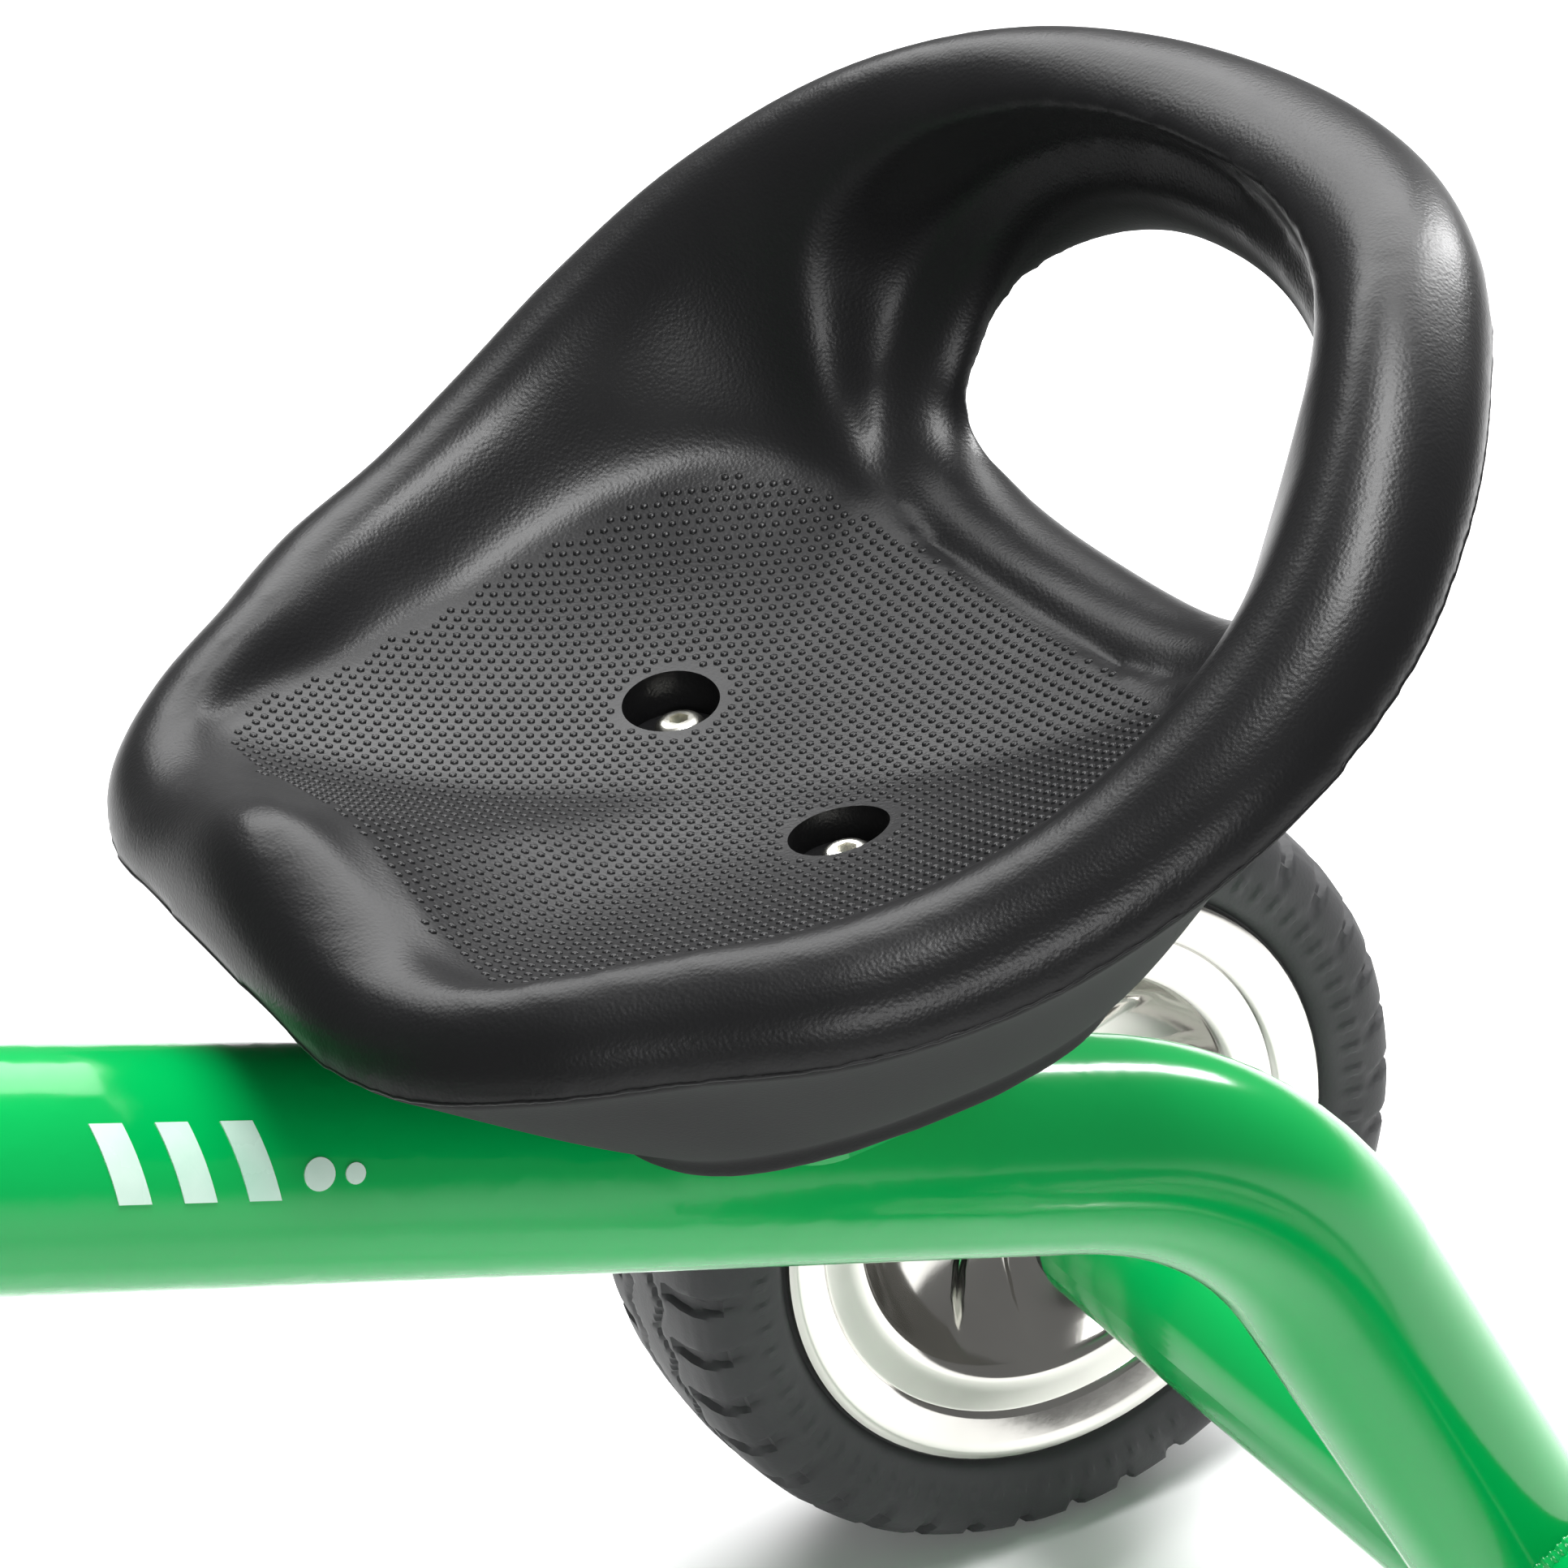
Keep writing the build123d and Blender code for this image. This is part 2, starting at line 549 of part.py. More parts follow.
def pedal_screws(side):
    group = []
    for end in (-1, 1):
        head = post(4.4, PEDAL_HALF - 4.5, PEDAL_HALF - 2)
        shank = post(PEDAL_SCREW_R, -PEDAL_HALF + 4.5, PEDAL_HALF - 4.5)
        nut = Pos(0, 0, -PEDAL_HALF + 1.5) * extrude(RegularPolygon(4.5, 6), amount=3)
        group.append(pedal_centre(side) * Pos(end * PEDAL_SCREW_X, 0, 0) * (head + shank + nut))
    return Compound(children=group)


# ------------------------------------------------------------------ write every node
save("spine_tube", spine_tube())
save("rear_axle_tube", rear_axle_tube())
save("head_tube", head_tube())
save("head_bushing_upper", head_bushing(1))
save("head_bushing_lower", head_bushing(-1))
save("rear_axle_rod", rear_axle_rod())
save("seat_shell", seat_shell())
save("seat_bolts", seat_bolts())
save("seat_washers", seat_washers())
save("seat_nuts", seat_nuts())
for word, sign in (("left", 1), ("right", -1)):
    save(f"seat_bracket_{word}", seat_bracket(sign))
    save(f"rear_{word}_end_bush", end_bush(sign))
    save(f"bearing_housing_{word}", bearing_housing(sign))
    save(f"crank_bush_{word}", crank_bush(sign))
    save(f"{word}_pedal_top", pedal_half(sign, 1))
    save(f"{word}_pedal_bottom", pedal_half(sign, -1))
    save(f"{word}_pedal_screws", pedal_screws(sign))
    save_wheel(f"rear_{word}", REAR_X, sign, AXLE_ROD_R + RUN_CLEAR)
save_wheel("front_left", FRONT_X, 1, CRANK_R, driven=True)
save_wheel("front_right", FRONT_X, -1, CRANK_R + RUN_CLEAR)
for place, x in (("rear", REAR_X), ("front", FRONT_X)):
    washers = [at_wheel(washer_and_nut()[0], x, sign) for sign in (-1, 1)]
    nuts = [at_wheel(washer_and_nut()[1], x, sign) for sign in (-1, 1)]
    save(f"{place}_axle_washers", Compound(children=washers))
    save(f"{place}_axle_nuts", Compound(children=nuts))
save("yoke_hoop", yoke_hoop())
save("steering_column", steering_column())
save("column_ring_upper", column_ring(1))
save("column_ring_lower", column_ring(-1))
save("hand_wheel_core", COLUMN * hand_wheel_core())
save("hand_wheel_grip", COLUMN * hand_wheel_grip())
save("hand_wheel_cap", COLUMN * hand_wheel_cap())
save("hand_wheel_bolt", COLUMN * hand_wheel_bolt())
save("hand_wheel_nut", COLUMN * hand_wheel_nut())
save("crankshaft", crankshaft())
save("crank_spacers", crank_spacers())
save("drive_pin", Pos(FRONT_X, HALF_TRACK, WHEEL_R) * drive_pin())
print("nodes written:", len(os.listdir("parts")))
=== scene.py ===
"""Looks of a child's pedal go kart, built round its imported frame. Metres, +X forward, +Z up."""

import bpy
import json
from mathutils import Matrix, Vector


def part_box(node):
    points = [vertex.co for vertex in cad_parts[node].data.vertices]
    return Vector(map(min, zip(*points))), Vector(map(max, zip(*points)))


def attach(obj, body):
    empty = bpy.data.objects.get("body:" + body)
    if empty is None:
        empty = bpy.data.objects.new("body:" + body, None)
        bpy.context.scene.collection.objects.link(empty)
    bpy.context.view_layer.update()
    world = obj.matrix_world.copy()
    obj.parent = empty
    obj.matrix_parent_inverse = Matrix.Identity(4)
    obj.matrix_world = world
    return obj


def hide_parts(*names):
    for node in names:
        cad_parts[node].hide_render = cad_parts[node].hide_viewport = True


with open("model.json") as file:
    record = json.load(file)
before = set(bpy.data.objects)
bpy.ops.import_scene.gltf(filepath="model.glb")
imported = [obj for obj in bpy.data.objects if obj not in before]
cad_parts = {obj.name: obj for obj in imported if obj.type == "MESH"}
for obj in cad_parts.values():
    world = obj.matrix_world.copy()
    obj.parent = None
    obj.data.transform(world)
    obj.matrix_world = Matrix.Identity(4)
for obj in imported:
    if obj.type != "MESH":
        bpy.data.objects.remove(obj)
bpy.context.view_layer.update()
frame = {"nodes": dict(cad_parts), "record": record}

import json
import math

import bpy
import numpy as np
from mathutils import Matrix, Vector
from mathutils.bvhtree import BVHTree

MM = 0.001
WHEELS = (("rear_left", 1, "rear_left_wheel"), ("rear_right", -1, "rear_right_wheel"),
          ("front_left", 1, "crank"), ("front_right", -1, "front_right_wheel"))


# ------------------------------------------------------------------ small modelling helpers
def clear_selection():
    if bpy.context.object and bpy.context.object.mode != "OBJECT":
        bpy.ops.object.mode_set(mode="OBJECT")
    bpy.ops.object.select_all(action="DESELECT")


def pick(piece):
    clear_selection()
    piece.select_set(True)
    bpy.context.view_layer.objects.active = piece


def new_mesh(name, points, faces):
    mesh = bpy.data.meshes.new(name)
    mesh.from_pydata([tuple(p) for p in points], [], faces)
    mesh.update()
    piece = bpy.data.objects.new(name, mesh)
    bpy.context.scene.collection.objects.link(piece)
    return piece


def apply_all(piece):
    pick(piece)
    for modifier in list(piece.modifiers):
        bpy.ops.object.modifier_apply(modifier=modifier.name)


def settle(piece):
    """Put a finished piece's place into its mesh."""
    pick(piece)
    bpy.ops.object.transform_apply(location=True, rotation=True, scale=True)


def face_out(piece):
    pick(piece)
    bpy.ops.object.mode_set(mode="EDIT")
    bpy.ops.mesh.select_all(action="SELECT")
    bpy.ops.mesh.remove_doubles(threshold=0.00001)
    bpy.ops.mesh.normals_make_consistent(inside=False)
    bpy.ops.object.mode_set(mode="OBJECT")


def smooth(piece, angle=40):
    pick(piece)
    bpy.ops.object.shade_smooth_by_angle(angle=math.radians(angle))


def finish_piece(piece, body, material, nodes=(), angle=40):
    """Give a finished piece its finish, its body and the CAD nodes it stands for."""
    settle(piece)
    smooth(piece, angle)
    piece.data.materials.clear()
    piece.data.materials.append(material)
    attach(piece, body)
    if nodes:
        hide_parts(*nodes)
    return piece


def cut(piece, cutter, solver="EXACT"):
    modifier = piece.modifiers.new("cut", "BOOLEAN")
    modifier.operation = "DIFFERENCE"
    modifier.solver = solver
    modifier.object = cutter
    apply_all(piece)
    bpy.data.objects.remove(cutter)


def closed_curve(stations, per_station):
    """Smooth closed line through the stations: per_station points for each of them."""
    stations = np.asarray(stations, float)
    before, after = np.roll(stations, 1, axis=0), np.roll(stations, -1, axis=0)
    beyond = np.roll(stations, -2, axis=0)
    rows = []
    for i in range(per_station):
        t = i / per_station
        rows.append(0.5 * (2 * stations + (after - before) * t
                           + (2 * before - 5 * stations + 4 * after - beyond) * t ** 2
                           + (3 * stations - before - 3 * after + beyond) * t ** 3))
    return np.stack(rows, axis=1).reshape(-1, stations.shape[1])


def grid_faces(rows, columns):
    faces = []
    for r in range(rows - 1):
        for c in range(columns):
            n = (c + 1) % columns
            faces.append((r * columns + c, r * columns + n, (r + 1) * columns + n, (r + 1) * columns + c))
    return faces


def turned(name, profile, steps):
    """Ring or disc spun about the Y axis from (radius, y) points, in metres."""
    piece = new_mesh(name, [(r, y, 0) for r, y in profile], [])
    edges = [(i, i + 1) for i in range(len(profile) - 1)]
    piece.data.edges.add(len(edges))
    for edge, (a, b) in zip(piece.data.edges, edges):
        edge.vertices = (a, b)
    pick(piece)
    bpy.ops.object.mode_set(mode="EDIT")
    bpy.ops.mesh.select_all(action="SELECT")
    bpy.ops.mesh.spin(steps=steps, angle=2 * math.pi, center=(0, 0, 0), axis=(0, 1, 0))
    bpy.ops.object.mode_set(mode="OBJECT")
    face_out(piece)
    return piece


# ------------------------------------------------------------------ camera, light and floor
CAMERA_PLACE = Vector((0.2631, 0.7942, 0.8656))
CAMERA_TURN = 27.5             # degrees from straight across the kart, towards the rear
CAMERA_DIP = 27.32
CAMERA_ROLL = -4.0
LENS = 110.8


def add_camera():
    turn, dip, roll = (math.radians(v) for v in (CAMERA_TURN, CAMERA_DIP, CAMERA_ROLL))
    ahead = Vector((-math.sin(turn) * math.cos(dip), -math.cos(turn) * math.cos(dip), -math.sin(dip)))
    level = ahead.cross(Vector((0, 0, 1))).normalized()
    above = level.cross(ahead)
    right = math.cos(roll) * level + math.sin(roll) * above
    up = math.cos(roll) * above - math.sin(roll) * level
    data = bpy.data.cameras.new("camera")
    data.lens = LENS
    data.sensor_width = 36
    data.clip_start = 0.01
    camera = bpy.data.objects.new("camera", data)
    camera.matrix_world = Matrix.Translation(CAMERA_PLACE) @ Matrix((right, up, -ahead)).transposed().to_4x4()
    bpy.context.scene.collection.objects.link(camera)
    bpy.context.scene.camera = camera


def add_light(name, place, target, size, power, shape=(1, 1)):
    data = bpy.data.lights.new(name, "AREA")
    data.shape = "RECTANGLE"
    data.size, data.size_y = size * shape[0], size * shape[1]
    data.energy = power
    light = bpy.data.objects.new(name, data)
    light.location = place
    light.rotation_euler = (Vector(target) - Vector(place)).to_track_quat("-Z", "Y").to_euler()
    bpy.context.scene.collection.objects.link(light)


def add_studio():
    """Dim surroundings with broad soft boxes, so that black parts stay dark and the floor stays white."""
    world = bpy.data.worlds.new("studio")
    bpy.context.scene.world = world
    world.use_nodes = True
    background = world.node_tree.nodes["Background"]
    background.inputs["Color"].default_value = (1, 1, 1, 1)
    background.inputs["Strength"].default_value = 0.2
    middle = (-0.1, 0, 0.2)
    add_light("top", (-0.3, 0.2, 2.2), middle, 0.9, 52, (1.5, 0.6))
    add_light("back", (-1.9, -0.6, 1.3), middle, 0.6, 26, (0.4, 1.8))
    add_light("near", (0.9, 1.9, 1.1), middle, 0.6, 16, (1.6, 0.5))
    add_light("wash", (-1.0, -1.7, 2.0), (-0.9, -1.5, 0), 2.0, 95, (1.3, 1.0))
    clear_selection()
    bpy.ops.mesh.primitive_plane_add(size=14, location=(0, 0, 0))
    floor = bpy.context.object
    floor.name = "floor"
    material, shader, _ = shader_material("floor_white")
    shader.inputs["Base Color"].default_value = (0.95, 0.95, 0.95, 1)
    shader.inputs["Roughness"].default_value = 0.5
    floor.data.materials.append(material)


# ------------------------------------------------------------------ shared shader groups
def new_group(name, inputs, outputs):
    group = bpy.data.node_groups.new(name, "ShaderNodeTree")
    for label, value in inputs:
        socket = group.interface.new_socket(name=label, in_out="INPUT", socket_type="NodeSocketFloat")
        socket.default_value = value
    for label in outputs:
        group.interface.new_socket(name=label, in_out="OUTPUT", socket_type="NodeSocketFloat")
    return group, group.nodes.new("NodeGroupInput"), group.nodes.new("NodeGroupOutput")


def node(tree, kind, **settings):
    made = tree.nodes.new(kind)
    for key, value in settings.items():
        setattr(made, key, value)
    return made


def grain_group():
    """Fine leather-like grain: small cells broken up by noise."""
    group, given, out = new_group("moulded_grain", [("Cells", 600.0), ("Blend", 0.5)], ["Height"])
    place = node(group, "ShaderNodeTexCoord")
    cells = node(group, "ShaderNodeTexVoronoi", feature="SMOOTH_F1")
    cells.inputs["Smoothness"].default_value = 0.7
    fuzz = node(group, "ShaderNodeTexNoise")
    fuzz.inputs["Detail"].default_value = 4
    mix = node(group, "ShaderNodeMix", data_type="FLOAT")
    for texture in (cells, fuzz):
        group.links.new(place.outputs["Object"], texture.inputs["Vector"])
        group.links.new(given.outputs["Cells"], texture.inputs["Scale"])
    group.links.new(given.outputs["Blend"], mix.inputs["Factor"])
    group.links.new(cells.outputs["Distance"], mix.inputs["A"])
    group.links.new(fuzz.outputs["Fac"], mix.inputs["B"])
    group.links.new(mix.outputs["Result"], out.inputs["Height"])
    return group


def handling_group():
    """Soft cloudy drift between two values, for roughness and tint."""
    group, given, out = new_group("handling_marks", [("Size", 25.0), ("Low", 0.3), ("High", 0.4)], ["Value"])
    place = node(group, "ShaderNodeTexCoord")
    cloud = node(group, "ShaderNodeTexNoise")
    cloud.inputs["Detail"].default_value = 5
    reach = node(group, "ShaderNodeMapRange")
    reach.inputs["From Min"].default_value = 0.3
    reach.inputs["From Max"].default_value = 0.7
    group.links.new(place.outputs["Object"], cloud.inputs["Vector"])
    group.links.new(given.outputs["Size"], cloud.inputs["Scale"])
    group.links.new(cloud.outputs["Fac"], reach.inputs["Value"])
    group.links.new(given.outputs["Low"], reach.inputs["To Min"])
    group.links.new(given.outputs["High"], reach.inputs["To Max"])
    group.links.new(reach.outputs["Result"], out.inputs["Value"])
    return group


def shader_material(name):
    material = bpy.data.materials.new(name)
    material.use_nodes = True
    tree = material.node_tree
    return material, tree.nodes["Principled BSDF"], tree


def use_group(tree, group, **values):
    made = tree.nodes.new("ShaderNodeGroup")
    made.node_tree = group
    for key, value in values.items():
        made.inputs[key].default_value = value
    return made


def finish_material(name, dark, light, rough, grain=None, metallic=0.0, size=25.0):
    """Colour that drifts between two tones, uneven roughness, and a fine bump.

    rough is (lowest, highest); grain is (cells per metre, blend, depth in metres)."""
    material, shader, tree = shader_material(name)
    marks = use_group(tree, HANDLING, Size=size, Low=rough[0], High=rough[1])
    tint = use_group(tree, HANDLING, Size=size * 0.6, Low=0.0, High=1.0)
    mix = node(tree, "ShaderNodeMix", data_type="RGBA")
    mix.inputs["A"].default_value = (*dark, 1)
    mix.inputs["B"].default_value = (*light, 1)
    tree.links.new(tint.outputs["Value"], mix.inputs["Factor"])
    tree.links.new(mix.outputs["Result"], shader.inputs["Base Color"])
    tree.links.new(marks.outputs["Value"], shader.inputs["Roughness"])
    shader.inputs["Metallic"].default_value = metallic
    if grain:
        cells = use_group(tree, GRAIN, Cells=grain[0], Blend=grain[1])
        bump = node(tree, "ShaderNodeBump")
        bump.inputs["Strength"].default_value = 1.0
        bump.inputs["Distance"].default_value = grain[2]
        tree.links.new(cells.outputs["Height"], bump.inputs["Height"])
        tree.links.new(bump.outputs["Normal"], shader.inputs["Normal"])
    return material, shader, tree


GRAIN = grain_group()
HANDLING = handling_group()


def green_paint():
    material, shader, _ = finish_material(
        "green_paint", (0.0, 0.34, 0.065), (0.0, 0.38, 0.08), (0.12, 0.18), (160.0, 1.0, 0.00004), size=12)
    shader.inputs["Coat Weight"].default_value = 0.12
    shader.inputs["Specular IOR Level"].default_value = 0.4
    shader.inputs["Coat Roughness"].default_value = 0.03
    return material


def seat_plastic():
    material, shader, tree = finish_material(
        "seat_plastic", (0.0065, 0.0065, 0.007), (0.009, 0.009, 0.0095), (0.29, 0.37), (1250.0, 0.5, 0.00008))
    shader.inputs["Specular IOR Level"].default_value = 0.24
    # the shell is matt where it faces down
    underside = node(tree, "ShaderNodeAttribute", attribute_name="underside")
    dull = node(tree, "ShaderNodeMix", data_type="FLOAT")
    tree.links.new(underside.outputs["Fac"], dull.inputs["Factor"])
    tree.links.new(shader.inputs["Roughness"].links[0].from_socket, dull.inputs["A"])
    dull.inputs["B"].default_value = 0.85
    tree.links.new(dull.outputs["Result"], shader.inputs["Roughness"])
    return material


def plain_materials():
    """One finish for every remaining slot."""
    made = {}
    made["zinc_steel"] = finish_material(
        "zinc_steel", (0.72, 0.71, 0.64), (0.86, 0.85, 0.80), (0.20, 0.38), (900.0, 1.0, 0.00002), 1.0, 60)[0]
    made["bright_steel"] = finish_material(
        "bright_steel", (0.45, 0.45, 0.46), (0.6, 0.6, 0.62), (0.2, 0.34), (700.0, 1.0, 0.00002), 1.0, 40)[0]
    made["black_nylon"] = finish_material(
        "black_nylon", (0.010, 0.010, 0.010), (0.016, 0.016, 0.017), (0.38, 0.5), (700.0, 0.7, 0.00005))[0]
    made["tyre_rubber"] = finish_material(
        "tyre_rubber", (0.016, 0.0165, 0.018), (0.028, 0.028, 0.030), (0.55, 0.72), (900.0, 0.6, 0.0001))[0]
    made["chrome_rim"] = finish_material(
        "chrome_rim", (0.52, 0.51, 0.48), (0.66, 0.65, 0.61), (0.08, 0.16), (120.0, 1.0, 0.00003), 1.0, 30)[0]
    made["grip_rubber"] = finish_material(
        "grip_rubber", (0.012, 0.012, 0.0125), (0.02, 0.02, 0.021), (0.5, 0.65), (1000.0, 0.3, 0.0001))[0]
    made["pedal_plastic"] = finish_material(
        "pedal_plastic", (0.011, 0.011, 0.0115), (0.018, 0.018, 0.019), (0.4, 0.52), (800.0, 0.5, 0.00012))[0]
    made["cap_plastic"] = finish_material(
        "cap_plastic", (0.0, 0.30, 0.066), (0.0, 0.36, 0.085), (0.22, 0.3), (500.0, 0.6, 0.00003))[0]
    return made


MATERIALS = {"green_paint": green_paint(), "seat_plastic": seat_plastic(), **plain_materials()}


def dress_cad_nodes():
    """Every CAD node takes its slot's finish."""
    for entry in frame["record"]["subparts"]:
        piece = frame["nodes"][entry["node"]]
        piece.data.materials.clear()
        piece.data.materials.append(MATERIALS[entry["material_slot"]])


# ------------------------------------------------------------------ seat
SEAT_TILT = math.radians(4.3)
SEAT_BOLT = Vector((-4.0, 0, 22.0)) * MM        # middle of the two bolts, seen from the seat's own origin
BOLT_HALF_SPAN = 36 * MM
WELL_RADIUS = 10.6 * MM
WELL_FLOOR = 51.5 * MM
WELL_DEPTH = 60 * MM


def seat_matrix():
    """The seat's own frame: flat base at zero height, pan almost level, front edge a little down."""
    low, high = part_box("seat_bolts")
    turn = Matrix.Rotation(SEAT_TILT, 4, "Y")
    return Matrix.Translation((low + high) / 2 - turn @ SEAT_BOLT) @ turn


# half outline from the front centre to the rear centre: the rim's parting line (x, y, height), the
# radius of its roll, and the edge of the studded pan (x, y, height); millimetres in the seat's own frame
SEAT_HALF = [
    ((120, 0, 66), 17, (85, 0, 82)),
    ((119.5, 28, 65), 16.5, (87, 28, 79)),
    ((118, 52, 63), 16, (88, 50, 75)),
    ((110, 75, 63.5), 16.5, (84, 67, 74)),
    ((92, 95, 66), 17, (70, 77, 73)),
    ((70, 111, 68.5), 17, (52, 82, 71)),
    ((45, 129, 71), 17.5, (32, 87, 71)),
    ((16, 140, 75.5), 18, (12, 92, 72)),
    ((-11, 147.5, 85), 18, (-10, 94, 75.5)),
    ((-41, 151, 99), 18.5, (-28, 92, 78.5)),
    ((-72, 145, 115.5), 19, (-43, 88.5, 80.5)),
    ((-100, 127, 130.5), 19.5, (-54, 83, 80.5)),
    ((-122, 104, 141), 20, (-62, 73, 78)),
    ((-142, 76, 147.5), 20, (-67, 60, 75)),
    ((-156, 42, 150), 20, (-69.5, 33, 73)),
    ((-162, 0, 150), 20, (-70.5, 0, 72)),
]
SEAT_BASE_HALF = [(52, 0), (52, 16), (50, 32), (45, 44), (36, 52), (24, 57), (10, 60), (-6, 61), (-20, 61),
                  (-34, 59), (-46, 55), (-56, 48), (-63, 39), (-68, 28), (-71, 15), (-72, 0)]
COLUMNS = 6                     # points between neighbouring stations
PAN_MIDDLE = (5.0, 0.0, 57.5)


def whole(half):
    """Mirror a half outline to a full closed one."""
    half = [np.array(v, float) for v in half]
    other = [v * ([1, -1, 1][:len(v)] if len(v) > 1 else 1) for v in half[-2:0:-1]]
    return np.array(half + other)


def hermite(start, leave, end, arrive, t):
    t = t[:, None, None]
    return ((2 * t ** 3 - 3 * t ** 2 + 1) * start + (t ** 3 - 2 * t ** 2 + t) * leave
            + (3 * t ** 2 - 2 * t ** 3) * end + (t ** 3 - t ** 2) * arrive)


def seat_rings():
    """Closed rings of the seat's skin from the middle of the base, over the rim, to the middle of the pan."""
    rim = closed_curve(whole([s[0] for s in SEAT_HALF]), COLUMNS)
    roll = closed_curve(whole([(s[1],) for s in SEAT_HALF]), COLUMNS)
    edge = closed_curve(whole([s[2] for s in SEAT_HALF]), COLUMNS)
    base = closed_curve(whole(SEAT_BASE_HALF), COLUMNS)
    base = np.c_[base, np.zeros(len(base))]
    up = np.array([0.0, 0.0, 1.0])
    inward = (edge - rim) * [1, 1, 0]
    reach = np.linalg.norm(inward, axis=1, keepdims=True)
    inward /= reach
    # the front lip swells into a low pommel between the legs
    pommel = 7.0 * np.exp(-(rim[:, 1:2] / 24) ** 2) * (rim[:, 0:1] > 80)
    crest = rim + inward * roll + up * (roll + pommel)
    # base: flat bottom, rounded edge
    rings = [base * [s, s, 1] for s in (0.02, 0.5, 0.9, 0.97)]
    rings.append(base + up * 2.0)
    foot = base * [1.03, 1.03, 1] + up * 7.0
    # wall from the base up to the parting line
    under = rim - up * 1.2 + inward * 1.2
    drop = (rim - foot)[:, 2:3]
    spread = np.linalg.norm((rim - foot) * [1, 1, 0], axis=1, keepdims=True)
    chord = np.hypot(drop, spread)
    leave = -inward * spread * 0.9 + up * drop * 0.7
    arrive = (up * 0.62 - inward * 0.78) * chord * 0.8
    rings += list(hermite(foot, leave, under, arrive, np.linspace(0, 1, 15)))
    rings += [rim - up * 0.9 + inward * 0.2, rim]
    # rolled rim: a quarter turn up to the crest, then an easy fall into the bowl
    for k in range(1, 8):
        a = k / 8 * math.pi / 2
        rings.append(rim + inward * roll * (1 - math.cos(a)) + up * (roll + pommel) * math.sin(a))
    fall = np.abs((edge - crest)[:, 2:3]) + 2.0
    room = np.linalg.norm((edge - crest) * [1, 1, 0], axis=1, keepdims=True)
    leave = inward * np.minimum(np.sqrt(6 * fall * roll), 1.5 * room)
    arrive = (inward - up * 0.3) * np.minimum(np.sqrt(6 * fall * 11.0), 1.2 * room)
    rings += list(hermite(crest, leave, edge, arrive, np.linspace(0, 1, 22)))
    # dished pan with a faint ridge along its middle
    middle = np.array(PAN_MIDDLE)
    for s in np.linspace(0.95, 0.0, 16)[:-1]:
        ring = middle + (edge - middle) * [s, s, 0]
        ring[:, 2] = PAN_MIDDLE[2] + (edge[:, 2] - PAN_MIDDLE[2]) * s ** 2.2
        ring[:, 2] += 1.6 * np.exp(-(ring[:, 1] / 16) ** 2) * np.clip(1 - np.abs(s * 2 - 1), 0, 1) * (ring[:, 0] > 5)
        rings.append(ring)
    return rings


def skin(name, rings, tip_first, tip_last):
    columns = len(rings[0])
    points = np.vstack(rings + [np.array([tip_first, tip_last])])
    faces = grid_faces(len(rings), columns)
    first, last = len(points) - 2, len(points) - 1
    start = (len(rings) - 1) * columns
    for c in range(columns):
        n = (c + 1) % columns
        faces.append((first, n, c))
        faces.append((last, start + c, start + n))
    return new_mesh(name, points * MM, faces)


CROSSBAR = np.array([-88.0, 64.0])      # middle of the roll below the hand hole: x, height
CROSSBAR_R = 15.0
ARCH = np.array([-142.0, 150.0])        # middle of the roll above it
ARCH_R = 20.0


def hand_hole_cutter():
    """Spool that leaves a rounded roll all round the hand hole."""
    lean = ARCH - CROSSBAR
    span = np.linalg.norm(lean)
    lean = lean / span
    normal = np.array([lean[1], -lean[0]])
    bottom, top = CROSSBAR_R - 2, span - ARCH_R + 1
    widest, half_width = bottom + 27.0, 64.0
    count = 96
    turn = np.linspace(0, 2 * math.pi, count, endpoint=False)
    power = np.where(np.sin(turn) < 0, 0.62, 0.9)
    width = half_width * np.sign(np.cos(turn)) * np.abs(np.cos(turn)) ** power
    rise = np.where(np.sin(turn) > 0, top - widest, widest - bottom)
    height = widest + rise * np.sign(np.sin(turn)) * np.abs(np.sin(turn)) ** power
    outline = np.c_[width, height]
    ahead = np.roll(outline, -1, axis=0) - np.roll(outline, 1, axis=0)
    outward = np.c_[ahead[:, 1], -ahead[:, 0]]
    outward /= np.linalg.norm(outward, axis=1, keepdims=True)
    rings = []
    depths = [-60, -40] + [-22 * math.cos(a) for a in np.linspace(0, math.pi, 25)] + [28, 40, 60]
    # beyond the rounded edge the cut keeps opening forwards, but not down into the pan
    upper = np.clip((outline[:, 1:2] - bottom - 8) / 22, 0, 1)
    for depth in depths:
        shift = min(abs(depth), 17.0) / 17.0
        flare = 16.0 * (1 - math.sqrt(max(0.0, 1 - shift ** 2))) + max(0.0, depth - 13.0) * 0.35 * upper
        ring = outline + outward * flare
        place = CROSSBAR + np.outer(ring[:, 1], lean) + normal * depth
        rings.append(np.c_[place[:, 0], ring[:, 0], place[:, 1]])
    return skin("hole_cutter", rings, rings[0].mean(axis=0), rings[-1].mean(axis=0))


def cylinder(name, radius, depth, place):
    clear_selection()
    bpy.ops.mesh.primitive_cylinder_add(vertices=64, radius=radius, depth=depth, location=place)
    piece = bpy.context.object
    piece.name = name
    settle(piece)
    return piece


